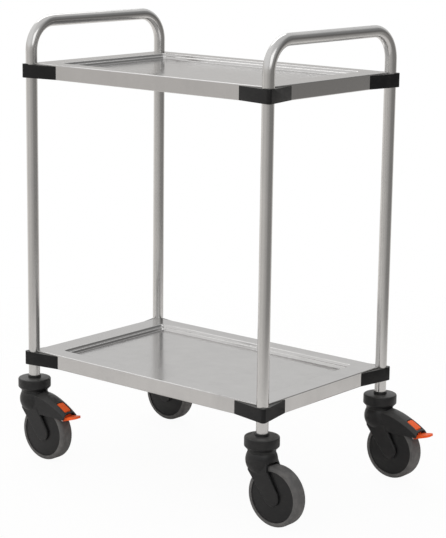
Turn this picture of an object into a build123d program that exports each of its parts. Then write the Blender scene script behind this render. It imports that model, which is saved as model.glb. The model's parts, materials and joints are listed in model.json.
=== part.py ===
from build123d import *
from math import asin, atan2, cos, degrees, hypot, radians, sin, sqrt, tan
import os

# A stainless service cart: two tube hoops carry two pressed trays, with black plastic pads over
# the tray corners and four swivel casters, two of them with a foot brake.
# Millimetres. X runs along the trays, Y from the front to the back, Z up from the floor.
# The parts are built about the middle of the four legs and moved at the end, so that the origin
# lies on the floor under the middle of the whole cart, brake levers included.

# Tube hoops, one at each short end
leg_pitch_x = 646.0           # between the axes of the two hoops
leg_pitch_y = 410.0           # between the two legs of one hoop
cart_height = 975.0           # floor to the top of the push bars
push_bar_rise = 100.0         # top of the push bars above the upper rim
tube_diameter = 25.0
tube_wall = 1.5
hoop_bend_radius = 62.5       # at the tube's centre line

# Trays
lower_rim_rise = 55.5         # lower rim above the top of the caster's collar
skirt_height = 32.0
sheet = 1.0
bend_inside = 1.0             # inner radius of every bend in the sheet
end_rim_width = 50.0          # rim at the short ends
side_rim_width = 40.0         # rim along the sides
rim_step_depth = 5.0
ledge_width = 6.0
floor_step_depth = 5.5
step_run = 2.0                # how far each step slopes inwards
recess_corner = 8.0
return_width = 12.0           # edge turned in under the skirt
notch_clearance = 0.5         # between the tray's corner notch and the tube

# Corner pads
pad_arm = 72.0                # from the tube's axis to the end of an arm
pad_end = 1.0                 # thickness at the end of an arm
pad_wall = 1.5                # thinnest wall outside the tube
pad_nose_reach = 19.5         # tube's axis to the rounded nose
pad_below_rim = 3.0           # arms under the tray's rim
pad_above_skirt = 0.5         # underside above the skirt's lower edge
pad_nose_rise = 1.0           # nose above the arms
pad_nose_start = 8.0          # where the raised nose begins, along the diagonal
pad_edge = 0.6                # bevel along the outer edge underneath

# Brackets in the tray corners, and the screws through bracket and tube into the pad
bracket_height = 24.0
bracket_thickness = 2.0
bracket_reach = 42.0
bracket_gap = 0.3             # between the bracket's plate and the tube
screw_radius = 3.0
screw_hole_clearance = 0.3
screw_tip = 16.5              # past the tube's axis
screw_head_radius = 5.0
screw_head_height = 3.0

# Fits
press_clearance = 0.02
running_clearance = 0.04
tube_fit = 0.1                # plastic round the tube

# Wheel
wheel_diameter = 125.0
wheel_width = 32.0
wheel_trail = 40.0            # axle behind the swivel axis
tread_shoulder = 6.5
tread_depth = 9.5             # rubber between the hub and the floor
hub_side_recess = 1.4         # hub's face inside the tread's face
hub_edge = 1.0
hub_bore_radius = 7.0
axle_radius = 5.0
axle_half_length = 19.2
bearing_outer_radius = 13.0
bearing_width = 8.0

# Fork
fork_head_rise = 22.0         # fork's top above the wheel's top
fork_top_radius = 28.5
fork_head_radius = 33.0
slot_clearance = 4.5          # crown over the tread
slot_half_width = 17.0
slot_corner = 5.0
boss_radius = 18.5
boss_gap = 0.4                # between the hub's face and the fork's boss
leg_foot_half_width = 19.5    # outer faces under the axle
leg_top_half_width = 24.5     # outer faces at the shoulder
leg_edge = 1.5                # bevel round the outer faces
front_shoulder_s = -17.6
front_shoulder_drop = 37.2    # under the fork's top
rear_shoulder_s = 31.0
rear_shoulder_drop = 32.6
crown_rear_s = 24.0           # rear edge at the fork's top
crown_half_width = 15.0

# Collar on the tube's foot, with the neck that the fork turns under
swivel_gap = 0.5
neck_radius = 29.0
neck_height = 4.0
collar_radius = 36.0
collar_flare_height = 7.5
collar_drum_height = 20.0
collar_shoulder = 3.5
collar_dome_rise = 6.5
tube_socket_depth = 2.5

# King bolt, its plug in the tube and its bearing in the fork
bolt_radius = 6.0
bolt_head_radius = 9.0
bolt_head_height = 3.0
bolt_engagement = 30.0        # bolt's end above the tube's foot
bolt_gap = 0.3
plug_height = 32.0
plug_slot_width = 1.6
plug_slot_start = 7.0
swivel_bearing_radius = 11.0
swivel_bearing_height = 15.9

# Brake hood behind the fork's head
hood_rise = 4.2               # ridge above the fork's top, beside the neck
hood_start_s = 14.0
hood_tail_run = 17.5          # tail behind the lever's pivot
hood_tail_rise = 6.0          # ridge at the tail, above the pivot
hood_sag_share = 0.41         # share of the fall in a plain slope, the rest curves
hood_front_half_width = 24.0
hood_rear_half_width = 20.5
ridge_front_half_width = 9.0
ridge_rear_half_width = 14.0
ridge_crown = 1.5
hood_flank_drop = 8.0
hood_wall = 2.2
hood_side_drop = 7.0          # side walls' lower edge under the pivot
hood_neck_gap = 1.0
hood_overrun = 1.0            # the cavity runs this far past the open tail
hood_cavity_run = 22.0        # cavity starts this far ahead of the window
window_front_run = 14.0       # window's front edge ahead of the pivot
window_rear_run = 13.0        # and its rear edge behind it
window_half_width = 10.5
window_corner = 2.0

# Brake lever
lever_pivot_gap = 8.6         # pivot's axis outside the tread
lever_pivot_angle = 43.0      # seen from the axle, above level
lever_pin_radius = 2.5
lever_pin_half_length = 19.4
lever_barrel_radius = 6.0
lever_barrel_half_width = 14.0
lever_lock_angle = 14.0
lever_window_gap = 0.8
lever_window_rear_gap = 2.6
lever_pad_sink = 0.7          # pad under the hood's ridge
lever_pad_depth = 6.0
tongue_root_run = 8.5         # behind the pivot
tongue_root_drop = 7.3        # under the pivot
tongue_root_radius = 4.4
tongue_tip_run = 41.8         # behind the pivot
tongue_tip_rise = 0.8         # above the pivot
tongue_tip_radius = 2.4
tongue_half_width = 12.0
tongue_corner = 11.0
shoe_first_angle = 33.0       # seen from the axle, lever pressed
shoe_last_angle = 43.0
shoe_gap = 0.35               # to the tread, lever pressed
shoe_thickness = 4.0
shoe_half_width = 11.0

# Worked out from the sizes above
tube_radius = tube_diameter / 2
tube_bore_radius = tube_radius - tube_wall
wheel_radius = wheel_diameter / 2
axle_z = wheel_radius
fork_top_z = wheel_diameter + fork_head_rise
collar_bottom_z = fork_top_z + swivel_gap
neck_top_z = collar_bottom_z + neck_height
drum_bottom_z = neck_top_z + collar_flare_height
drum_top_z = drum_bottom_z + collar_drum_height
collar_top_z = drum_top_z + collar_dome_rise
tube_foot_z = collar_top_z - tube_socket_depth
bar_z = cart_height - tube_radius
tread_bore_radius = wheel_radius - tread_depth
slot_radius = wheel_radius + slot_clearance
hub_half_width = wheel_width / 2 - hub_side_recess
bearing_top_z = collar_bottom_z - bolt_gap
bearing_bottom_z = bearing_top_z - swivel_bearing_height
bolt_head_top_z = bearing_bottom_z - bolt_gap
lever_pivot_reach = wheel_radius + lever_pivot_gap
lever_pivot_s = wheel_trail + lever_pivot_reach * cos(radians(lever_pivot_angle))
lever_pivot_z = axle_z + lever_pivot_reach * sin(radians(lever_pivot_angle))
window_front_s = lever_pivot_s - window_front_run
window_rear_s = lever_pivot_s + window_rear_run
hood_cavity_s = window_front_s - hood_cavity_run
hood_end_s = lever_pivot_s + hood_tail_run
hood_top_z = fork_top_z + hood_rise
hood_low_z = lever_pivot_z - hood_side_drop
hood_drop = hood_top_z - lever_pivot_z - hood_tail_rise
tongue_root_s = lever_pivot_s + tongue_root_run
tongue_root_z = lever_pivot_z - tongue_root_drop
tongue_tip_s = lever_pivot_s + tongue_tip_run
tongue_tip_z = lever_pivot_z + tongue_tip_rise
pedal_reach = tongue_tip_s + tongue_tip_radius
upper_rim_z = cart_height - push_bar_rise
lower_rim_z = collar_top_z + lower_rim_rise
cart_middle_x = (pedal_reach - collar_radius) / 2

corners = {
    "front_left": (-1, -1),
    "front_right": (1, -1),
    "back_left": (-1, 1),
    "back_right": (1, 1),
}
braked_corners = ["front_left", "back_right"]
rims = {"upper": upper_rim_z, "lower": lower_rim_z}

parts_folder = "parts"
os.makedirs(parts_folder, exist_ok=True)


def save(name, shape):
    moved = Pos(-cart_middle_x, 0, 0) * shape
    export_step(moved, os.path.join(parts_folder, name + ".step"))


def at_leg(corner):
    side, depth = corners[corner]
    return Pos(side * leg_pitch_x / 2, depth * leg_pitch_y / 2, 0)


# A tray corner is built with its outside towards +X +Y and turned to each corner
def at_tray_corner(corner):
    side, depth = corners[corner]
    return at_leg(corner) * Rot(0, 0, degrees(atan2(depth, side)) - 45)


# Lays something built along +Z on the diagonal that points out of the corner
def on_diagonal(shape):
    return Rot(0, 0, 45) * Rot(0, 90, 0) * shape


def screw_height(rim_z):
    return rim_z - skirt_height / 2


# Tube hoops

def hoop(side):
    half_pitch = leg_pitch_y / 2
    path = FilletPolyline(
        (0, -half_pitch, tube_foot_z),
        (0, -half_pitch, bar_z),
        (0, half_pitch, bar_z),
        (0, half_pitch, tube_foot_z),
        radius=hoop_bend_radius,
    )
    ring = Circle(tube_radius) - Circle(tube_bore_radius)
    start = Plane(origin=path @ 0, z_dir=path % 0)
    tube = Pos(side * leg_pitch_x / 2, 0, 0) * sweep(start * ring, path=path)
    drill = on_diagonal(Cylinder(screw_radius + screw_hole_clearance, 2 * tube_diameter))
    for corner, (corner_side, _) in corners.items():
        if corner_side == side:
            for rim_z in rims.values():
                tube -= at_tray_corner(corner) * Pos(0, 0, screw_height(rim_z)) * drill
    return tube


# Trays, with the rim at height zero

def step_pocket(size_x, size_y, corner, depth):
    top = RectangleRounded(size_x, size_y, corner)
    bottom = RectangleRounded(size_x - 2 * step_run, size_y - 2 * step_run, corner - step_run / 2)
    return loft([top, Pos(0, 0, -depth) * bottom])


def level_face(form, height):
    faces = form.faces().filter_by(Axis.Z)
    return faces.sort_by(lambda face: abs(face.center().Z - height))[0]


# The outside of the tray for an inset of nothing, the space under it for an inset of one sheet
def tray_form(inset):
    outer_bend = bend_inside + sheet - inset
    inner_bend = bend_inside + inset
    top_level = (Align.CENTER, Align.CENTER, Align.MAX)
    form = Box(leg_pitch_x - 2 * inset, leg_pitch_y - 2 * inset, skirt_height - 2 * inset, align=top_level)
    size_x = leg_pitch_x - 2 * end_rim_width + 2 * inset
    size_y = leg_pitch_y - 2 * side_rim_width + 2 * inset
    narrowing = 2 * (step_run + ledge_width)
    form -= step_pocket(size_x, size_y, recess_corner + inset, rim_step_depth)
    form -= Pos(0, 0, -rim_step_depth) * step_pocket(
        size_x - narrowing, size_y - narrowing, recess_corner + inset, floor_step_depth)
    form = fillet(level_face(form, 0).edges(), outer_bend)
    form = fillet(level_face(form, -rim_step_depth).outer_wire().edges(), inner_bend)
    form = fillet(level_face(form, -rim_step_depth).inner_wires()[0].edges(), outer_bend)
    form = fillet(level_face(form, -rim_step_depth - floor_step_depth).edges(), inner_bend)
    form = fillet(level_face(form, 2 * inset - skirt_height).edges(), outer_bend)
    return Pos(0, 0, -inset) * form


def tray():
    shell = tray_form(0) - tray_form(sheet)
    opening = Box(leg_pitch_x - 2 * return_width, leg_pitch_y - 2 * return_width, 4 * sheet)
    shell -= Pos(0, 0, -skirt_height) * opening
    for corner in corners:
        shell -= at_leg(corner) * Cylinder(tube_radius + notch_clearance, 3 * skirt_height)
    return shell


# Corner pads, in the corner's own frame with the rim at height zero

def outside_tube(edge):
    middle = edge.center()
    return max(middle.X, middle.Y) > pad_end and hypot(middle.X, middle.Y) > tube_radius + pad_wall / 2


def corner_pad():
    wall_outside = tube_radius + pad_wall
    slope = asin(wall_outside / hypot(pad_arm, pad_end)) - atan2(pad_end, pad_arm)
    peak = (pad_end + pad_arm * tan(slope)) / (1 - tan(slope))
    nose_radius = (peak * sqrt(2) - pad_nose_reach) / (1 / sin(radians(45) - slope) - 1)
    outline = make_face(Polyline(
        (-pad_arm, 0), (-pad_arm, pad_end), (peak, peak), (pad_end, -pad_arm), (0, -pad_arm), (0, 0),
        close=True))
    outline = fillet(outline.vertices().sort_by(Axis((0, 0, 0), (1, 1, 0)))[-1], nose_radius)
    bottom_z = pad_above_skirt - skirt_height
    height = -pad_below_rim - bottom_z
    pad = Pos(0, 0, bottom_z) * extrude(outline, amount=height)
    nose_zone = Rot(0, 0, 45) * Pos(pad_nose_start, 0) * Rectangle(
        pad_arm, pad_arm, align=(Align.MIN, Align.CENTER))
    pad += Pos(0, 0, bottom_z) * extrude(outline & nose_zone, amount=height + pad_nose_rise)
    pad -= Cylinder(tube_radius + tube_fit, 4 * skirt_height)
    hole = Cylinder(screw_radius + press_clearance, screw_tip + bracket_gap,
                    align=(Align.CENTER, Align.CENTER, Align.MIN))
    pad -= Pos(0, 0, screw_height(0)) * on_diagonal(hole)
    underside = pad.faces().filter_by(Axis.Z).sort_by(Axis.Z)[0]
    return chamfer(underside.edges().filter_by(outside_tube), pad_edge)


def corner_bracket():
    plate = (tube_radius + bracket_gap) * sqrt(2)
    plate_back = plate + bracket_thickness * sqrt(2)
    back = sheet + bracket_thickness
    outline = make_face(Polyline(
        (-bracket_reach, -sheet), (sheet - plate, -sheet), (-sheet, sheet - plate), (-sheet, -bracket_reach),
        (-back, -bracket_reach), (-back, back - plate_back), (back - plate_back, -back),
        (-bracket_reach, -back),
        close=True))
    bracket = Pos(0, 0, screw_height(0) - bracket_height / 2) * extrude(outline, amount=bracket_height)
    drill = Cylinder(screw_radius + screw_hole_clearance, 3 * tube_diameter)
    return bracket - Pos(0, 0, screw_height(0)) * on_diagonal(drill)


def corner_screw():
    head_face = -(tube_radius + bracket_gap + bracket_thickness)
    from_below = (Align.CENTER, Align.CENTER, Align.MIN)
    from_above = (Align.CENTER, Align.CENTER, Align.MAX)
    shank = Pos(0, 0, head_face) * Cylinder(screw_radius, screw_tip - head_face, align=from_below)
    head = Cylinder(screw_head_radius, screw_head_height, align=from_above)
    head = chamfer(head.edges().sort_by(Axis.Z)[0], screw_head_height / 2)
    screw = shank + Pos(0, 0, head_face) * head
    return Pos(0, 0, screw_height(0)) * on_diagonal(screw)


# Caster parts: the swivel axis is Z, the wheel trails towards +X, the floor is height zero

def turned(outline):
    return revolve(Plane.XZ * outline, Axis.Z)


def about_axle(outline):
    wheel = revolve(outline, Axis.Y)
    return Pos(wheel_trail, 0, axle_z) * wheel


def caster_collar():
    bore = bolt_radius + press_clearance
    socket = tube_radius + tube_fit
    outline = make_face(Polyline(
        (bore, collar_bottom_z), (neck_radius, collar_bottom_z), (neck_radius, neck_top_z),
        (collar_radius, drum_bottom_z), (collar_radius, drum_top_z), (socket, collar_top_z),
        (socket, tube_foot_z), (bore, tube_foot_z),
        close=True))
    shoulder = outline.vertices().sort_by_distance((collar_radius, drum_top_z))[0]
    return turned(chamfer(shoulder, collar_shoulder))


def king_bolt():
    from_above = (Align.CENTER, Align.CENTER, Align.MAX)
    head = extrude(RegularPolygon(bolt_head_radius, 6), amount=-bolt_head_height)
    shank = Cylinder(bolt_radius, tube_foot_z + bolt_engagement - bolt_head_top_z, align=from_above)
    return Pos(0, 0, bolt_head_top_z) * head + Pos(0, 0, tube_foot_z + bolt_engagement) * shank


def tube_plug():
    from_below = (Align.CENTER, Align.CENTER, Align.MIN)
    plug = Cylinder(tube_bore_radius - tube_fit, plug_height, align=from_below)
    plug -= Cylinder(bolt_radius + press_clearance, plug_height, align=from_below)
    for turn in (0, 90):
        slot = Box(tube_diameter, plug_slot_width, plug_height, align=from_below)
        plug -= Pos(0, 0, plug_slot_start) * Rot(0, 0, turn) * slot
    return Pos(0, 0, tube_foot_z) * plug


def swivel_bearing():
    from_above = (Align.CENTER, Align.CENTER, Align.MAX)
    ring = Cylinder(swivel_bearing_radius, swivel_bearing_height, align=from_above)
    ring -= Cylinder(bolt_radius + running_clearance, swivel_bearing_height, align=from_above)
    return Pos(0, 0, bearing_top_z) * ring


# The tread's shoulders fall away in two bevels
def wheel_tread():
    side = wheel_width / 2
    flank = wheel_radius - tread_shoulder
    middle = tread_shoulder * sin(radians(45))
    shoulder = [
        (flank, side),
        (flank + middle, side - tread_shoulder + middle),
        (wheel_radius, side - tread_shoulder),
    ]
    other_shoulder = [(radius, -y) for radius, y in reversed(shoulder)]
    outline = make_face(Polyline(
        (tread_bore_radius, -side), (tread_bore_radius, side), *shoulder, *other_shoulder, close=True))
    return about_axle(outline)


def wheel_hub():
    rim = tread_bore_radius - press_clearance
    outline = Rectangle(rim, 2 * hub_half_width, align=(Align.MIN, Align.CENTER))
    outline = chamfer(outline.vertices().group_by(Axis.X)[-1], hub_edge)
    outline -= Rectangle(hub_bore_radius, wheel_width, align=(Align.MIN, Align.CENTER))
    for side in (-1, 1):
        seat_radius = bearing_outer_radius + press_clearance
        seat = Rectangle(seat_radius, bearing_width, align=(Align.MIN, Align.CENTER))
        outline -= Pos(0, side * (hub_half_width - bearing_width / 2)) * seat
    return about_axle(outline)


def wheel_bearings():
    inner = axle_radius + press_clearance
    rings = []
    for side in (-1, 1):
        ring = Rectangle(bearing_outer_radius - inner, bearing_width, align=(Align.MIN, Align.CENTER))
        middle = side * (hub_half_width - bearing_width / 2)
        rings.append(about_axle(Pos(inner, middle) * ring))
    return Compound(children=rings)


def across(radius, half_length):
    return Rot(90, 0, 0) * Cylinder(radius, 2 * half_length)


def axle():
    return Pos(wheel_trail, 0, axle_z) * across(axle_radius, axle_half_length)


# Fork: a ball-shaped head, cut flat under the neck, and two legs that flare up into it

# Side view: straight edges from the shoulders run tangent into the round boss
def leg_outline():
    boss = Pos(wheel_trail, axle_z) * Circle(boss_radius).edge()
    front = (front_shoulder_s, fork_top_z - front_shoulder_drop)
    rear = (rear_shoulder_s, fork_top_z - rear_shoulder_drop)
    crown = make_face(Polyline(
        front, rear, (crown_rear_s, fork_top_z), (front_shoulder_s, fork_top_z), close=True))
    return make_hull([boss, Line(front, rear)]) + crown


# Front view: the legs widen up to the shoulders and draw in again under the neck
def fork_front_outline():
    foot_z = axle_z - boss_radius
    shoulder_z = fork_top_z - rear_shoulder_drop
    return make_face(Polyline(
        (-leg_foot_half_width, foot_z), (leg_foot_half_width, foot_z), (leg_top_half_width, shoulder_z),
        (crown_half_width, fork_top_z), (-crown_half_width, fork_top_z), (-leg_top_half_width, shoulder_z),
        close=True))


def fork_legs():
    legs = extrude(Plane.XZ * leg_outline(), amount=leg_top_half_width + leg_edge, both=True)
    legs &= extrude(Plane.YZ * fork_front_outline(), amount=collar_radius + wheel_diameter, both=True)
    for outermost in (-1, 0):
        outer_face = legs.faces().sort_by(Axis.Y)[outermost]
        legs = chamfer(outer_face.edges(), leg_edge)
    return legs


def fork_head():
    middle_z = fork_top_z - sqrt(fork_head_radius ** 2 - fork_top_radius ** 2)
    above = Cylinder(fork_head_radius, fork_head_radius, align=(Align.CENTER, Align.CENTER, Align.MIN))
    return Pos(0, 0, middle_z) * Sphere(fork_head_radius) - Pos(0, 0, fork_top_z) * above


def fork_bosses():
    length = slot_half_width - hub_half_width - boss_gap
    boss = Pos(wheel_trail, slot_half_width - length / 2, axle_z) * across(boss_radius, length / 2)
    return boss + mirror(boss, about=Plane.XZ)


def wheel_slot():
    slot = across(slot_radius, slot_half_width)
    slot = chamfer(slot.edges().filter_by(GeomType.CIRCLE), slot_corner)
    return Pos(wheel_trail, 0, axle_z) * slot


def plain_fork():
    return fork_head() + fork_legs() - wheel_slot() + fork_bosses()


def drill_fork(body):
    from_above = (Align.CENTER, Align.CENTER, Align.MAX)
    seat = Cylinder(swivel_bearing_radius + press_clearance, 2 * swivel_bearing_height,
                    align=(Align.CENTER, Align.CENTER, Align.MIN))
    body -= Pos(0, 0, bearing_bottom_z) * seat
    body -= Pos(0, 0, bearing_bottom_z) * Cylinder(
        bolt_head_radius + bolt_gap, bearing_bottom_z, align=from_above)
    hole = across(axle_radius + press_clearance, axle_half_length + press_clearance)
    return body - Pos(wheel_trail, 0, axle_z) * hole


# Brake hood: sections across the ridge, lofted from the neck to the tail

def ridge_height(s):
    way = (s - neck_radius) / (hood_end_s - neck_radius)
    fall = hood_sag_share * way + (1 - hood_sag_share) * way * way
    return hood_top_z - hood_drop * max(fall, 0)


def hood_section(s, inset):
    way = (s - hood_start_s) / (hood_end_s - hood_start_s)
    side = hood_front_half_width + (hood_rear_half_width - hood_front_half_width) * way - inset
    ridge = ridge_front_half_width + (ridge_rear_half_width - ridge_front_half_width) * way - inset / 2
    top = ridge_height(s) - inset
    low = hood_low_z - 3 * inset
    edges = Polyline(
        (-ridge, top - ridge_crown), (-side, top - hood_flank_drop), (-side, low), (side, low),
        (side, top - hood_flank_drop), (ridge, top - ridge_crown))
    crest = ThreePointArc((ridge, top - ridge_crown), (0, top), (-ridge, top - ridge_crown))
    return Plane(origin=(s, 0, 0), x_dir=(0, 1, 0), z_dir=(1, 0, 0)) * make_face([edges, crest])


def hood_form(first_s, last_s, inset):
    steps = 4
    stations = [first_s + (last_s - first_s) * step / steps for step in range(steps + 1)]
    return loft([hood_section(s, inset) for s in stations])


def window(gap, rear_gap):
    length = window_rear_s - window_front_s - gap - rear_gap
    outline = RectangleRounded(length, 2 * (window_half_width - gap), window_corner)
    middle = window_front_s + gap + length / 2
    return Pos(middle, 0, lever_pivot_z) * extrude(outline, amount=fork_top_z - lever_pivot_z)


def brake_hood():
    hood = hood_form(hood_start_s, hood_end_s, 0)
    neck_space = Cylinder(neck_radius + hood_neck_gap, 4 * hood_rise,
                          align=(Align.CENTER, Align.CENTER, Align.MIN))
    hood -= Pos(0, 0, fork_top_z) * neck_space
    hood -= hood_form(hood_cavity_s, hood_end_s + hood_overrun, hood_wall)
    hood -= wheel_slot()
    hood -= window(0, 0)
    return hood


def braked_fork():
    body = plain_fork() + brake_hood()
    pin_hole = across(lever_pin_radius + press_clearance, lever_pin_half_length + press_clearance)
    return body - Pos(lever_pivot_s, 0, lever_pivot_z) * pin_hole


# Brake lever, released

def lever_axis():
    return Axis((lever_pivot_s, 0, lever_pivot_z), (0, 1, 0))


# The space from the axle out to a radius, where it lies once the lever is pressed, turned back
def pressed_disc(radius):
    disc = Pos(wheel_trail, 0, axle_z) * across(radius, shoe_half_width)
    return disc.rotate(lever_axis(), -lever_lock_angle)


def tongue_plan():
    length = pedal_reach - lever_pivot_s
    plan = Rectangle(length, 2 * tongue_half_width, align=(Align.MIN, Align.CENTER))
    plan = Pos(lever_pivot_s, 0) * plan
    plan = fillet(plan.vertices().group_by(Axis.X)[-1], tongue_corner)
    return extrude(plan, amount=fork_top_z)


def brake_lever():
    pivot = Pos(lever_pivot_s, lever_pivot_z) * Circle(lever_barrel_radius).edge()
    root = Pos(tongue_root_s, tongue_root_z) * Circle(tongue_root_radius).edge()
    tip = Pos(tongue_tip_s, tongue_tip_z) * Circle(tongue_tip_radius).edge()
    side = make_hull([root, tip]) + make_hull([pivot, root])
    tongue = extrude(Plane.XZ * side, amount=tongue_half_width, both=True)
    tongue &= tongue_plan()
    barrel = Pos(lever_pivot_s, 0, lever_pivot_z) * across(lever_barrel_radius, lever_barrel_half_width)
    front = window_front_s + lever_window_gap
    under_pad = ridge_height(front) - lever_pad_depth
    web = make_face(Polyline(
        (front, fork_top_z), (front, under_pad), (lever_pivot_s, lever_pivot_z - lever_barrel_radius / 2),
        (window_rear_s, lever_pivot_z), (window_rear_s, fork_top_z),
        close=True))
    pad = window(lever_window_gap, lever_window_rear_gap)
    pad &= extrude(Plane.XZ * web, amount=window_half_width, both=True)
    pad &= Pos(0, 0, -lever_pad_sink) * hood_form(hood_start_s, hood_end_s, 0)
    lever = barrel + tongue + pad
    lever -= pressed_disc(wheel_radius + shoe_gap + shoe_thickness)
    drill = across(lever_pin_radius + running_clearance, 2 * lever_barrel_half_width)
    return lever - Pos(lever_pivot_s, 0, lever_pivot_z) * drill


def lever_pin():
    return Pos(lever_pivot_s, 0, lever_pivot_z) * across(lever_pin_radius, lever_pin_half_length)


def brake_shoe():
    inner = wheel_radius + shoe_gap
    outer = inner + shoe_thickness
    first = radians(shoe_first_angle)
    last = radians(shoe_last_angle)
    middle = (first + last) / 2
    outline = make_face([
        Line((inner * cos(first), inner * sin(first)), (outer * cos(first), outer * sin(first))),
        ThreePointArc((outer * cos(first), outer * sin(first)), (outer * cos(middle), outer * sin(middle)),
                      (outer * cos(last), outer * sin(last))),
        Line((outer * cos(last), outer * sin(last)), (inner * cos(last), inner * sin(last))),
        ThreePointArc((inner * cos(last), inner * sin(last)), (inner * cos(middle), inner * sin(middle)),
                      (inner * cos(first), inner * sin(first))),
    ])
    shoe = extrude(Plane.XZ * outline, amount=shoe_half_width, both=True)
    shoe = Pos(wheel_trail, 0, axle_z) * shoe
    return shoe.rotate(lever_axis(), -lever_lock_angle)


# Frame pieces

save("hoop_left", hoop(-1))
save("hoop_right", hoop(1))

tray_shape = tray()
pad_shape = corner_pad()
bracket_shape = corner_bracket()
screw_shape = corner_screw()
for level, rim_z in rims.items():
    lift = Pos(0, 0, rim_z)
    save(level + "_shelf", lift * tray_shape)
    for corner in corners:
        save("pad_" + level + "_" + corner, at_tray_corner(corner) * lift * pad_shape)
    brackets = [at_tray_corner(corner) * lift * bracket_shape for corner in corners]
    save(level + "_corner_brackets", Compound(children=brackets))
    screws = [at_tray_corner(corner) * lift * screw_shape for corner in corners]
    save(level + "_shelf_screws", Compound(children=screws))

# Casters

every_caster = {
    "caster_collar": caster_collar(),
    "stem": king_bolt(),
    "tube_plug": tube_plug(),
    "swivel_bearing": swivel_bearing(),
    "wheel_tread": wheel_tread(),
    "wheel_hub": wheel_hub(),
    "wheel_bearings": wheel_bearings(),
    "axle": axle(),
}
brake_pieces = {
    "pedal": brake_lever(),
    "pedal_pin": lever_pin(),
    "brake_shoe": brake_shoe(),
}
free_fork = drill_fork(plain_fork())
hooded_fork = drill_fork(braked_fork())
for corner in corners:
    pieces = dict(every_caster)
    if corner in braked_corners:
        pieces.update(brake_pieces)
        pieces["fork"] = hooded_fork
    else:
        pieces["fork"] = free_fork
    for name, shape in pieces.items():
        save(name + "_" + corner, at_leg(corner) * shape)
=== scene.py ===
# Service cart: finishes, rounded pieces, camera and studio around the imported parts

import json
import math

import bmesh
import bpy
from mathutils import Matrix, Vector

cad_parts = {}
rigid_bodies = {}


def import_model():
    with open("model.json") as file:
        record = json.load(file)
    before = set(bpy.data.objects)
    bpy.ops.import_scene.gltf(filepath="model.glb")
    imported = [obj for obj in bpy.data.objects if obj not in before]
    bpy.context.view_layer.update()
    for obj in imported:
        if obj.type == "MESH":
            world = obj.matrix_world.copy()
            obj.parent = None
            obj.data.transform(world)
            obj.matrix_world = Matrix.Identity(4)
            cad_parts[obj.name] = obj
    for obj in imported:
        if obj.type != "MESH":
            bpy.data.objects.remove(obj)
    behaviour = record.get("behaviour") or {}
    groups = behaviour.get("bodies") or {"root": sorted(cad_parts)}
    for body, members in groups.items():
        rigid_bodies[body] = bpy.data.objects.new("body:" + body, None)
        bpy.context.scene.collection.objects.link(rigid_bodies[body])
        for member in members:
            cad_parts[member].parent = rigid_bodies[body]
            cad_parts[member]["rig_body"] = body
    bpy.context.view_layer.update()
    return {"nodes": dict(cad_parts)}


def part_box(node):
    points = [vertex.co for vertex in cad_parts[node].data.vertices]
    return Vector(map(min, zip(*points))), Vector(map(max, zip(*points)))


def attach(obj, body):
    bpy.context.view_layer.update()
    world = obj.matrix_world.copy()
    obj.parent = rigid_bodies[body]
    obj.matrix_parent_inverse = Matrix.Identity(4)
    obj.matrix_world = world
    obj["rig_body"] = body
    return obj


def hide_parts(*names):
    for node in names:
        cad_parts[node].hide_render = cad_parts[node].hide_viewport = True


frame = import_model()
nodes = frame["nodes"]
print("frame loaded:", len(nodes), "parts")

mm = 0.001                      # the scene is in metres
weldWithin = 0.002 * mm         # points of a node's mesh that are this near are one
corners = ["front_left", "front_right", "back_left", "back_right"]
brakedCorners = ["front_left", "back_right"]


# Shader helpers that every finish below uses

def blankMaterial(name):
    material = bpy.data.materials.new(name)
    material.use_nodes = True
    tree = material.node_tree
    surface = tree.nodes["Principled BSDF"]
    return material, tree, surface


def addNode(tree, kind, **inputs):
    node = tree.nodes.new(kind)
    for name, value in inputs.items():
        node.inputs[name].default_value = value
    return node


def objectPlace(tree, scale=(1.0, 1.0, 1.0), turn=(0.0, 0.0, 0.0)):
    place = tree.nodes.new("ShaderNodeTexCoord")
    mapping = addNode(tree, "ShaderNodeMapping", Scale=scale, Rotation=turn)
    tree.links.new(place.outputs["Object"], mapping.inputs["Vector"])
    return mapping.outputs["Vector"]


def noise(tree, vector, scale, detail, roughness):
    node = addNode(tree, "ShaderNodeTexNoise", Scale=scale, Detail=detail, Roughness=roughness)
    tree.links.new(vector, node.inputs["Vector"])
    return node.outputs["Fac"]


# A value between the two given first becomes one between the two given last
def ranged(tree, value, fromLow, fromHigh, toLow, toHigh):
    node = tree.nodes.new("ShaderNodeMapRange")
    node.inputs["From Min"].default_value = fromLow
    node.inputs["From Max"].default_value = fromHigh
    node.inputs["To Min"].default_value = toLow
    node.inputs["To Max"].default_value = toHigh
    tree.links.new(value, node.inputs["Value"])
    return node.outputs["Result"]


def combined(tree, first, second, operation):
    node = tree.nodes.new("ShaderNodeMath")
    node.operation = operation
    node.use_clamp = operation == "ADD"         # a sum stays between 0 and 1
    tree.links.new(first, node.inputs[0])
    tree.links.new(second, node.inputs[1])
    return node.outputs["Value"]


def shades(tree, value, low, high):
    node = tree.nodes.new("ShaderNodeMix")
    node.data_type = "RGBA"
    node.inputs["A"].default_value = (*low, 1.0)
    node.inputs["B"].default_value = (*high, 1.0)
    tree.links.new(value, node.inputs["Factor"])
    return node.outputs["Result"]


def bumped(tree, surface, height, distance, strength):
    node = addNode(tree, "ShaderNodeBump", Strength=strength, Distance=distance)
    tree.links.new(height, node.inputs["Height"])
    tree.links.new(node.outputs["Normal"], surface.inputs["Normal"])


# Stainless steel, satin ground along the sheet or round the tube

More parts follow.
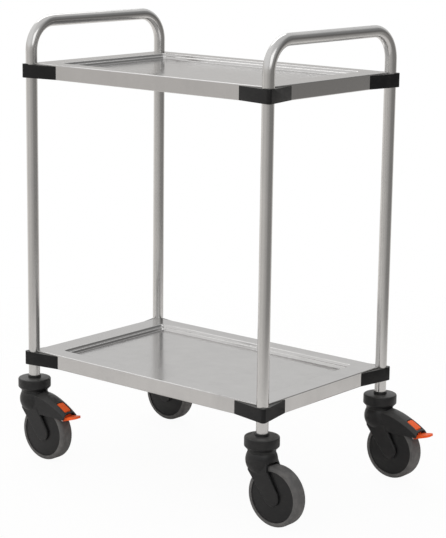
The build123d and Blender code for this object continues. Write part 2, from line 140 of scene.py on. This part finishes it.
traySteelLook = {
    "colour": (0.558, 0.550, 0.543),
    "smudge": (0.522, 0.515, 0.509),
    "roughness": (0.13, 0.22),
    "grainStretch": (10.0, 1100.0, 1100.0),     # lines along X
    "grainBump": 0.0000012,
}
tubeSteelLook = {
    "colour": (0.60, 0.594, 0.585),
    "smudge": (0.55, 0.546, 0.54),
    "roughness": (0.14, 0.24),
    "grainStretch": (60.0, 60.0, 1300.0),       # lines round an upright tube
    "grainBump": 0.000004,
}
plainSteelLook = {
    "colour": (0.47, 0.47, 0.465),
    "smudge": (0.38, 0.38, 0.375),
    "roughness": (0.28, 0.42),
    "grainStretch": (300.0, 300.0, 300.0),      # the same every way
    "grainBump": 0.000008,
}
steelWear = {
    "grain": (1.0, 4.0, 0.65),          # scale, detail and roughness of the noise, as below
    "hand": (9.0, 4.0, 0.6),            # broad marks of hands
    "drag": (34.0, 5.0, 0.7),           # finer marks of a cloth
    "dragStretch": (1.0, 1.0, 0.35),    # longer up and down
    "smudgeRange": (0.16, 0.38),        # where the two together begin to show and are full
    "grainRange": (0.3, 0.7),
    "grainShare": 0.35,                 # of the roughness range, the rest comes from smudges
    "bumpStrength": 0.35,
}


def groundSteel(name, look):
    material, tree, surface = blankMaterial(name)
    grain = noise(tree, objectPlace(tree, look["grainStretch"]), *steelWear["grain"])
    hand = noise(tree, objectPlace(tree), *steelWear["hand"])
    drag = noise(tree, objectPlace(tree, steelWear["dragStretch"]), *steelWear["drag"])
    marks = combined(tree, hand, drag, "MULTIPLY")
    smudge = ranged(tree, marks, *steelWear["smudgeRange"], 0.0, 1.0)
    colour = shades(tree, smudge, look["colour"], look["smudge"])
    low, high = look["roughness"]
    grainPart = steelWear["grainShare"] * (high - low)
    smudgePart = (1.0 - steelWear["grainShare"]) * (high - low)
    grainRoughness = ranged(tree, grain, *steelWear["grainRange"], low, low + grainPart)
    smudgeRoughness = ranged(tree, smudge, 0.0, 1.0, 0.0, smudgePart)
    roughness = combined(tree, grainRoughness, smudgeRoughness, "ADD")
    surface.inputs["Metallic"].default_value = 1.0
    tree.links.new(colour, surface.inputs["Base Color"])
    tree.links.new(roughness, surface.inputs["Roughness"])
    bumped(tree, surface, grain, look["grainBump"], steelWear["bumpStrength"])
    return material


# Moulded plastics: pebbled face, paler rubbed places, a paler tone in patches on what faces up

# In each plastic look below, the third colour is the paler tone that faces looking up take
padPlasticLook = {
    "colour": (0.008, 0.008, 0.0085),
    "rubbed": (0.017, 0.0165, 0.016),
    "paleTone": (0.085, 0.083, 0.08),
    "roughness": (0.34, 0.46),
    "shine": 0.20,
    "pebble": 1900.0,
    "pebbleHeight": 0.00003,
}
casterPlasticLook = {
    "colour": (0.009, 0.009, 0.0095),
    "rubbed": (0.019, 0.0185, 0.018),
    "paleTone": (0.062, 0.061, 0.059),
    "roughness": (0.33, 0.46),
    "shine": 0.34,
    "pebble": 1500.0,
    "pebbleHeight": 0.00004,
}
hubPlasticLook = {
    "colour": (0.011, 0.011, 0.0115),
    "rubbed": (0.021, 0.0205, 0.02),
    "paleTone": (0.015, 0.015, 0.015),
    "roughness": (0.34, 0.46),
    "shine": 0.29,
    "pebble": 2400.0,
    "pebbleHeight": 0.00002,
}
plugPlasticLook = {
    "colour": (0.06, 0.06, 0.062),
    "rubbed": (0.09, 0.09, 0.09),
    "paleTone": (0.07, 0.07, 0.07),
    "roughness": (0.45, 0.6),
    "shine": 0.35,
    "pebble": 1500.0,
    "pebbleHeight": 0.00003,
}
leverPlasticLook = {
    "colour": (0.98, 0.12, 0.018),
    "rubbed": (0.93, 0.14, 0.03),
    "paleTone": (0.97, 0.15, 0.04),
    "roughness": (0.36, 0.48),
    "shine": 0.16,
    "pebble": 2000.0,
    "pebbleHeight": 0.00002,
}
plasticWear = {
    "pebbleDetail": (2.0, 0.5),         # detail and roughness of the noise
    "patch": (38.0, 4.0, 0.62),         # scale, detail and roughness
    "scuff": (95.0, 5.0, 0.7),
    "scuffStretch": (1.0, 1.0, 5.0),
    "scuffTurn": (0.3, 0.2, 0.5),
    "wearRange": (0.24, 0.42),          # where patch and scuff together begin to show and are full
    "paleRange": (0.25, 0.6),           # of the patches, over which the paler tone on faces that look up thickens
    "paleThinnest": 0.6,
    "paleFacing": (0.35, 0.97),         # how far up a face looks where the paler tone begins and is full
    "roughnessRange": (0.3, 0.7),
    "bumpStrength": 0.5,
}


# 0 where a face looks sideways or down, 1 where it looks up
def upwardShare(tree, low, high):
    place = tree.nodes.new("ShaderNodeTexCoord")
    split = tree.nodes.new("ShaderNodeSeparateXYZ")
    tree.links.new(place.outputs["Normal"], split.inputs["Vector"])
    return ranged(tree, split.outputs["Z"], low, high, 0.0, 1.0)


def mouldedPlastic(name, look):
    material, tree, surface = blankMaterial(name)
    scuffPlace = objectPlace(tree, plasticWear["scuffStretch"], plasticWear["scuffTurn"])
    pebble = noise(tree, objectPlace(tree), look["pebble"], *plasticWear["pebbleDetail"])
    patch = noise(tree, objectPlace(tree), *plasticWear["patch"])
    scuff = noise(tree, scuffPlace, *plasticWear["scuff"])
    wear = ranged(tree, combined(tree, patch, scuff, "MULTIPLY"), *plasticWear["wearRange"], 0.0, 1.0)
    # faces that look up get a paler tone, fuller in some patches than in others
    facing = upwardShare(tree, *plasticWear["paleFacing"])
    thickness = ranged(tree, patch, *plasticWear["paleRange"], plasticWear["paleThinnest"], 1.0)
    paleTopShare = combined(tree, facing, thickness, "MULTIPLY")
    worn = shades(tree, wear, look["colour"], look["rubbed"])
    paleTopColour = shades(tree, paleTopShare, look["colour"], look["paleTone"])
    tree.links.new(worn, paleTopColour.node.inputs["A"])
    tree.links.new(paleTopColour, surface.inputs["Base Color"])
    roughness = ranged(tree, patch, *plasticWear["roughnessRange"], *look["roughness"])
    tree.links.new(roughness, surface.inputs["Roughness"])
    surface.inputs["Specular IOR Level"].default_value = look["shine"]
    bumped(tree, surface, pebble, look["pebbleHeight"], plasticWear["bumpStrength"])
    return material


treadRubberLook = {
    "colour": (0.088, 0.086, 0.085),
    "paleTone": (0.145, 0.139, 0.135),
    "roughness": (0.58, 0.78),
    "grain": (1400.0, 3.0, 0.6),        # scale, detail and roughness of the noise
    "grainHeight": 0.00005,
    "bumpStrength": 0.45,
    "patch": (55.0, 5.0, 0.65),
    "paleRange": (0.42, 0.7),           # of the patches, over which the dust thickens
    "roughnessRange": (0.3, 0.7),
}


def treadRubber(name, look):
    material, tree, surface = blankMaterial(name)
    grain = noise(tree, objectPlace(tree), *look["grain"])
    patch = noise(tree, objectPlace(tree), *look["patch"])
    paleTone = ranged(tree, patch, *look["paleRange"], 0.0, 1.0)
    roughness = ranged(tree, patch, *look["roughnessRange"], *look["roughness"])
    tree.links.new(shades(tree, paleTone, look["colour"], look["paleTone"]), surface.inputs["Base Color"])
    tree.links.new(roughness, surface.inputs["Roughness"])
    bumped(tree, surface, grain, look["grainHeight"], look["bumpStrength"])
    return material


materialOfSlot = {
    "tube_steel": groundSteel("tubeSteel", tubeSteelLook),
    "tray_steel": groundSteel("traySteel", traySteelLook),
    "bracket_steel": groundSteel("bracketSteel", plainSteelLook),
    "screw_steel": groundSteel("screwSteel", plainSteelLook),
    "bolt_steel": groundSteel("boltSteel", plainSteelLook),
    "bearing_steel": groundSteel("bearingSteel", plainSteelLook),
    "pad_plastic": mouldedPlastic("padPlastic", padPlasticLook),
    "caster_plastic": mouldedPlastic("casterPlastic", casterPlasticLook),
    "hub_plastic": mouldedPlastic("hubPlastic", hubPlasticLook),
    "plug_plastic": mouldedPlastic("plugPlastic", plugPlasticLook),
    "tread_rubber": treadRubber("treadRubber", treadRubberLook),
    "lever_plastic": mouldedPlastic("leverPlastic", leverPlasticLook),
}
print("finishes made:", len(materialOfSlot))


# Which finish each part gets: the first word below that its name holds decides

slotOfWord = {
    "hoop": "tube_steel",
    "brackets": "bracket_steel",
    "screws": "screw_steel",
    "shelf": "tray_steel",
    "pad": "pad_plastic",
    "pedal_pin": "bolt_steel",
    "pedal": "lever_plastic",
    "brake_shoe": "bracket_steel",
    "caster_collar": "caster_plastic",
    "stem": "bolt_steel",
    "tube_plug": "plug_plastic",
    "swivel_bearing": "bearing_steel",
    "wheel_tread": "tread_rubber",
    "wheel_hub": "hub_plastic",
    "wheel_bearings": "bearing_steel",
    "axle": "bolt_steel",
    "fork": "caster_plastic",
}


def slotOfNode(name):
    return next(slot for word, slot in slotOfWord.items() if word in name)


def dress(piece, slot):
    piece.data.materials.clear()
    piece.data.materials.append(materialOfSlot[slot])


for nodeName, node in nodes.items():
    dress(node, slotOfNode(nodeName))
print("parts dressed")


# Rounded pieces, each in place of the CAD node whose real moulding has softer edges.
# Edges sharper than smoothAngle, in degrees, stay hard.

def addPiece(name, shape, slot, nodeName, smoothAngle=35.0):
    mesh = bpy.data.meshes.new(name)
    shape.to_mesh(mesh)
    shape.free()
    mesh.shade_smooth()
    mesh.set_sharp_from_angle(angle=math.radians(smoothAngle))
    piece = bpy.data.objects.new(name, mesh)
    bpy.context.scene.collection.objects.link(piece)
    dress(piece, slot)
    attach(piece, nodes[nodeName]["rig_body"])
    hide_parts(nodeName)
    return piece


def mergedCopy(nodeName):
    shape = bmesh.new()
    shape.from_mesh(nodes[nodeName].data)
    bmesh.ops.remove_doubles(shape, verts=shape.verts, dist=weldWithin)
    return shape


def bevelled(shape, edges, width, segments):
    bmesh.ops.bevel(
        shape, geom=edges, offset=width, offset_type="OFFSET", affect="EDGES",
        segments=segments, profile=0.5, material=-1, clamp_overlap=True)


# Corner pads, with every hard edge rounded

pad = {
    "edgeWidth": 0.9 * mm,
    "edgeSegments": 3,
    "sharperThan": 40.0,        # degrees between two faces whose edge is rounded
    "flatWithin": 1.0,          # degrees between two faces that are merged first
}


def roundedPad(nodeName):
    shape = mergedCopy(nodeName)
    bmesh.ops.dissolve_limit(
        shape, angle_limit=math.radians(pad["flatWithin"]), verts=shape.verts, edges=shape.edges)
    sharp = [edge for edge in shape.edges
             if edge.is_manifold and math.degrees(edge.calc_face_angle()) > pad["sharperThan"]]
    bevelled(shape, sharp, pad["edgeWidth"], pad["edgeSegments"])
    addPiece(nodeName.replace("pad", "corner_pad"), shape, "pad_plastic", nodeName)


for corner in corners:
    for level in ("upper", "lower"):
        roundedPad("pad_" + level + "_" + corner)
print("corner pads rounded")


# Turned pieces, spun from a half profile of (distance from the axis, height along it) points

turning = {
    "steps": 112,
    "mergeWithin": 0.001 * mm,
    "findWithin": 0.01 * mm,    # how near an edge lies to a ring that is rounded
}


def spun(profile, axis, centre):
    shape = bmesh.new()
    ring = [shape.verts.new(point) for point in profile]
    edges = [shape.edges.new((ring[i - 1], ring[i])) for i in range(len(ring))]
    bmesh.ops.spin(
        shape, geom=ring + edges, cent=centre, axis=axis, angle=math.tau,
        steps=turning["steps"], use_merge=True)
    bmesh.ops.remove_doubles(shape, verts=shape.verts, dist=turning["mergeWithin"])
    bmesh.ops.recalc_face_normals(shape, faces=shape.faces)
    return shape


# Rounds the rings of a spun shape that pass through the given points of its profile
def softenRings(shape, centre, axis, rings, width, segments):
    def passes(end, ring):
        return all(abs(end[i] - ring[i]) < turning["findWithin"] for i in range(2))

    picked = []
    for edge in shape.edges:
        ends = []
        for vertex in edge.verts:
            offset = vertex.co - centre
            height = offset.dot(axis)
            ends.append(((offset - height * axis).length, height))
        if any(passes(ends[0], ring) and passes(ends[1], ring) for ring in rings):
            picked.append(edge)
    bevelled(shape, picked, width, segments)


# soft lists the rings to round, each with its width
def turnedPiece(name, slot, nodeName, centre, axis, profile, soft, segments, smoothAngle):
    outwards = Vector((1.0, 0.0, 0.0))
    points = [centre + radius * outwards + height * axis for radius, height in profile]
    shape = spun(points, axis, centre)
    for rings, width in soft:
        softenRings(shape, centre, axis, rings, width, segments)
    addPiece(name, shape, slot, nodeName, smoothAngle)


# Wheels: a grey tread round a black hub, with the bearings' seats in the hub

wheel = {
    "diameter": 125.0 * mm,
    "width": 32.0 * mm,
    "rubber": 9.5 * mm,         # from the hub out to the floor
    "shoulder": 6.5 * mm,
    "shoulderSegments": 6,
    "treadSmooth": 60.0,        # degrees, sharper edges stay hard
    "hubInset": 1.4 * mm,       # hub's face inside the rubber's
    "hubLip": 1.0 * mm,
    "hubLipSegments": 3,
    "hubSmooth": 35.0,
    "hubFit": 0.02 * mm,        # hub's rim inside the rubber
    "hubBore": 7.0 * mm,
    "bearingSeat": 13.02 * mm,
    "bearingWidth": 8.0 * mm,
}


def roundedWheel(corner):
    low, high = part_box("wheel_tread_" + corner)
    centre = (Vector(low) + Vector(high)) / 2
    axis = Vector((0.0, 1.0, 0.0))

    outer = wheel["diameter"] / 2
    inner = outer - wheel["rubber"]
    half = wheel["width"] / 2
    tread = [(inner, -half), (outer, -half), (outer, half), (inner, half)]
    shoulders = [(outer, half), (outer, -half)]
    turnedPiece(
        "tread_" + corner, "tread_rubber", "wheel_tread_" + corner, centre, axis, tread,
        [(shoulders, wheel["shoulder"])], wheel["shoulderSegments"], wheel["treadSmooth"])

    rim = inner - wheel["hubFit"]
    face = half - wheel["hubInset"]
    seatFloor = face - wheel["bearingWidth"]
    seat = wheel["bearingSeat"]
    bore = wheel["hubBore"]
    hub = [
        (bore, -seatFloor), (seat, -seatFloor), (seat, -face), (rim, -face),
        (rim, face), (seat, face), (seat, seatFloor), (bore, seatFloor),
    ]
    lips = [(rim, face), (rim, -face)]
    turnedPiece(
        "hub_" + corner, "hub_plastic", "wheel_hub_" + corner, centre, axis, hub,
        [(lips, wheel["hubLip"])], wheel["hubLipSegments"], wheel["hubSmooth"])


# Collars: a neck, a drum on it and a short sleeve round the tube's foot.
# Distances from the axis and heights above the neck's foot.

collar = {
    "boltBore": 6.02 * mm,
    "neck": 29.0 * mm,
    "neckHeight": 4.0 * mm,
    "drum": 36.0 * mm,
    "drumBottom": 11.5 * mm,
    "drumTop": 31.2 * mm,
    "sleeve": 14.3 * mm,
    "sleeveFoot": 31.9 * mm,
    "sleeveTop": 37.6 * mm,
    "socket": 12.6 * mm,
    "socketFloor": 35.5 * mm,
    "shoulder": 3.2 * mm,
    "edge": 0.8 * mm,
    "edgeSegments": 4,
    "smooth": 30.0,             # degrees, sharper edges stay hard
}


def roundedCollar(corner):
    low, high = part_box("caster_collar_" + corner)
    middle = (Vector(low) + Vector(high)) / 2
    foot = Vector((middle.x, middle.y, low[2]))
    axis = Vector((0.0, 0.0, 1.0))
    neckTop = (collar["neck"], collar["neckHeight"])
    drumFoot = (collar["drum"], collar["drumBottom"])
    drumHead = (collar["drum"], collar["drumTop"])
    sleeveHead = (collar["sleeve"] - collar["edge"] / 2, collar["sleeveTop"])
    profile = [
        (collar["boltBore"], 0.0), (collar["neck"], 0.0), neckTop, drumFoot, drumHead,
        (collar["sleeve"], collar["sleeveFoot"]), sleeveHead,
        (collar["socket"], collar["sleeveTop"]), (collar["socket"], collar["socketFloor"]),
        (collar["boltBore"], collar["socketFloor"]),
    ]
    soft = [([drumHead], collar["shoulder"]), ([neckTop, drumFoot, sleeveHead], collar["edge"])]
    turnedPiece(
        "collar_" + corner, "caster_plastic", "caster_collar_" + corner, foot, axis, profile,
        soft, collar["edgeSegments"], collar["smooth"])


for corner in corners:
    roundedWheel(corner)
    roundedCollar(corner)
print("wheels and collars spun")


# Forks and brake levers keep their CAD form and get the soft edges of a moulding

forkMoulding = {
    "voxel": 0.7 * mm,
    "smooth": 2,                # passes
    "keep": 0.3,                # share of the faces kept after smoothing
}
leverMoulding = {
    "voxel": 0.45 * mm,
    "smooth": 3,
    "keep": 0.4,
}


def softMoulding(name, slot, nodeName, moulding):
    piece = addPiece(name, mergedCopy(nodeName), slot, nodeName)
    remesh = piece.modifiers.new("remesh", "REMESH")
    remesh.mode = "VOXEL"
    remesh.voxel_size = moulding["voxel"]
    relax = piece.modifiers.new("relax", "SMOOTH")
    relax.iterations = moulding["smooth"]
    fewer = piece.modifiers.new("fewer", "DECIMATE")
    fewer.ratio = moulding["keep"]
    evaluated = piece.evaluated_get(bpy.context.evaluated_depsgraph_get())
    solid = bpy.data.meshes.new_from_object(evaluated)
    piece.modifiers.clear()
    piece.data = solid
    solid.shade_smooth()
    dress(piece, slot)


for corner in corners:
    softMoulding("caster_fork_" + corner, "caster_plastic", "fork_" + corner, forkMoulding)
for corner in brakedCorners:
    softMoulding("brake_lever_" + corner, "lever_plastic", "pedal_" + corner, leverMoulding)
print("forks and levers softened")


# Camera where the photograph was taken from

view = {
    "place": (2.3937, -2.8932, 1.2537),
    "yaw": 129.648,             # degrees, from +X
    "pitch": 12.133,            # degrees downwards
    "roll": 0.74,
    "focalPixels": 1790.8,
    "imageHeight": 538,         # the longer side, which the sensor's width spans
    "sensor": 36.0,
    "clipEnd": 100.0,
}


def makeCamera():
    camera = bpy.data.cameras.new("camera")
    camera.sensor_width = view["sensor"]
    camera.lens = view["focalPixels"] / view["imageHeight"] * view["sensor"]
    camera.clip_end = view["clipEnd"]
    yaw = math.radians(view["yaw"])
    pitch = math.radians(view["pitch"])
    roll = math.radians(view["roll"])
    ahead = Vector((
        math.cos(pitch) * math.cos(yaw), math.cos(pitch) * math.sin(yaw), -math.sin(pitch)))
    right = Vector((math.sin(yaw), -math.cos(yaw), 0.0))
    up = right.cross(ahead)
    rolledRight = right * math.cos(roll) + up * math.sin(roll)
    rolledUp = up * math.cos(roll) - right * math.sin(roll)
    holder = bpy.data.objects.new("camera", camera)
    bpy.context.scene.collection.objects.link(holder)
    turn = Matrix((rolledRight, rolledUp, -ahead)).transposed().to_4x4()
    holder.matrix_world = Matrix.Translation(view["place"]) @ turn
    bpy.context.scene.camera = holder


makeCamera()
print("camera set")


# Studio floor, nearly white for the camera, with a faint shadow

floorLook = {
    "radius": 2.6,
    "segments": 96,
    "fade": (1.0, 1.9),         # the floor melts into the room between these distances
    "colour": (0.92, 0.90, 0.88),
    "roughness": 0.8,
    "shine": 0.1,
    "glow": 0.95,               # share of plain white in what the camera sees
}


def makeFloor():
    mesh = bpy.data.meshes.new("floor")
    shape = bmesh.new()
    bmesh.ops.create_circle(
        shape, cap_ends=True, segments=floorLook["segments"], radius=floorLook["radius"])
    shape.to_mesh(mesh)
    shape.free()
    floor = bpy.data.objects.new("floor", mesh)
    bpy.context.scene.collection.objects.link(floor)
    material, tree, surface = blankMaterial("floorWhite")
    surface.inputs["Base Color"].default_value = (*floorLook["colour"], 1.0)
    surface.inputs["Roughness"].default_value = floorLook["roughness"]
    surface.inputs["Specular IOR Level"].default_value = floorLook["shine"]

    glow = addNode(tree, "ShaderNodeEmission", Color=(1.0, 1.0, 1.0, 1.0), Strength=1.0)
    path = tree.nodes.new("ShaderNodeLightPath")
    share = ranged(tree, path.outputs["Is Camera Ray"], 0.0, 1.0, 0.0, floorLook["glow"])
    lit = tree.nodes.new("ShaderNodeMixShader")
    tree.links.new(share, lit.inputs["Fac"])
    tree.links.new(surface.outputs["BSDF"], lit.inputs[1])
    tree.links.new(glow.outputs["Emission"], lit.inputs[2])

    place = tree.nodes.new("ShaderNodeTexCoord")
    reach = tree.nodes.new("ShaderNodeVectorMath")
    reach.operation = "LENGTH"
    tree.links.new(place.outputs["Object"], reach.inputs[0])
    fade = ranged(tree, reach.outputs["Value"], *floorLook["fade"], 0.0, 1.0)
    clear = tree.nodes.new("ShaderNodeBsdfTransparent")
    mix = tree.nodes.new("ShaderNodeMixShader")
    tree.links.new(fade, mix.inputs["Fac"])
    tree.links.new(lit.outputs["Shader"], mix.inputs[1])
    tree.links.new(clear.outputs["BSDF"], mix.inputs[2])
    tree.links.new(mix.outputs["Shader"], tree.nodes["Material Output"].inputs["Surface"])
    mesh.materials.append(material)


# Room: plain white for the camera, and a pale one with dimmer sides for light and reflections.
# Each side has the direction that it is centred on, the nearness to that direction (as a cosine)
# over which it grows, and what it multiplies the level by at each end.

roomLook = {
    "below": 0.62,                      # level under the horizon
    "above": 0.97,                      # and overhead
    "turn": (0.03, 0.30),               # sines of the heights between which it changes
    "warmth": (1.0, 0.972, 0.942),      # tint under the horizon
    "white": (1.0, 1.0, 1.0),
    "cameraLevel": 1.0,
}
roomSides = [
    {"azimuth": -140.0, "rise": 0.0, "edges": (0.1, 0.7), "levels": (0.84, 1.17)},
    {"azimuth": 18.0, "rise": 0.0, "edges": (0.45, 0.90), "levels": (1.0, 0.57)},
    {"azimuth": 54.0, "rise": 20.0, "edges": (0.84, 0.956), "levels": (1.0, 0.46)},
]
lowGlow = {
    "azimuth": 135.0, "rise": 0.0, "edges": (0.1, 0.6), "levels": (0.0, 0.6),
    "heights": (-0.1, 0.03),            # sines, full under the first and gone over the second
}


def towards(tree, place, side):
    azimuth = math.radians(side["azimuth"])
    rise = math.radians(side["rise"])
    nearness = tree.nodes.new("ShaderNodeVectorMath")
    nearness.operation = "DOT_PRODUCT"
    nearness.inputs[1].default_value = (
        math.cos(azimuth) * math.cos(rise), math.sin(azimuth) * math.cos(rise), math.sin(rise))
    tree.links.new(place.outputs["Generated"], nearness.inputs[0])
    return ranged(tree, nearness.outputs["Value"], *side["edges"], *side["levels"])


def makeRoom():
    world = bpy.data.worlds.new("room")
    bpy.context.scene.world = world
    world.use_nodes = True
    tree = world.node_tree
    background = tree.nodes["Background"]
    place = tree.nodes.new("ShaderNodeTexCoord")
    split = tree.nodes.new("ShaderNodeSeparateXYZ")
    tree.links.new(place.outputs["Generated"], split.inputs["Vector"])
    height = split.outputs["Z"]

    level = ranged(tree, height, *roomLook["turn"], roomLook["below"], roomLook["above"])
    for side in roomSides:
        level = combined(tree, level, towards(tree, place, side), "MULTIPLY")
    below = ranged(tree, height, *lowGlow["heights"], 1.0, 0.0)
    glow = combined(tree, below, towards(tree, place, lowGlow), "MULTIPLY")
    level = combined(tree, level, combined(tree, level, glow, "MULTIPLY"), "ADD")

    path = tree.nodes.new("ShaderNodeLightPath")
    strength = tree.nodes.new("ShaderNodeMix")
    tree.links.new(path.outputs["Is Camera Ray"], strength.inputs["Factor"])
    tree.links.new(level, strength.inputs["A"])
    strength.inputs["B"].default_value = roomLook["cameraLevel"]
    tree.links.new(strength.outputs["Result"], background.inputs["Strength"])
    above = ranged(tree, height, *roomLook["turn"], 0.0, 1.0)
    plain = combined(tree, above, path.outputs["Is Camera Ray"], "MAXIMUM")
    tint = shades(tree, plain, roomLook["warmth"], roomLook["white"])
    tree.links.new(tint, background.inputs["Color"])


# Two soft lamps, aimed at the middle of the cart

keyLamp = {"power": 42.0, "place": (-2.8, 1.8, 3.9), "size": 3.0}
fillLamp = {"power": 20.0, "place": (3.2, -1.6, 2.6), "size": 2.6}
lampTarget = (0.0, 0.0, 0.5)


def makeLamp(name, look):
    lamp = bpy.data.lights.new(name, "AREA")
    lamp.energy = look["power"]
    lamp.size = look["size"]
    holder = bpy.data.objects.new(name, lamp)
    bpy.context.scene.collection.objects.link(holder)
    aim = Vector(lampTarget) - Vector(look["place"])
    turn = aim.to_track_quat("-Z", "Y").to_matrix().to_4x4()
    holder.matrix_world = Matrix.Translation(look["place"]) @ turn


makeFloor()
makeRoom()
makeLamp("keyLamp", keyLamp)
makeLamp("fillLamp", fillLamp)
bpy.context.scene.view_settings.view_transform = "Standard"
print("studio set")
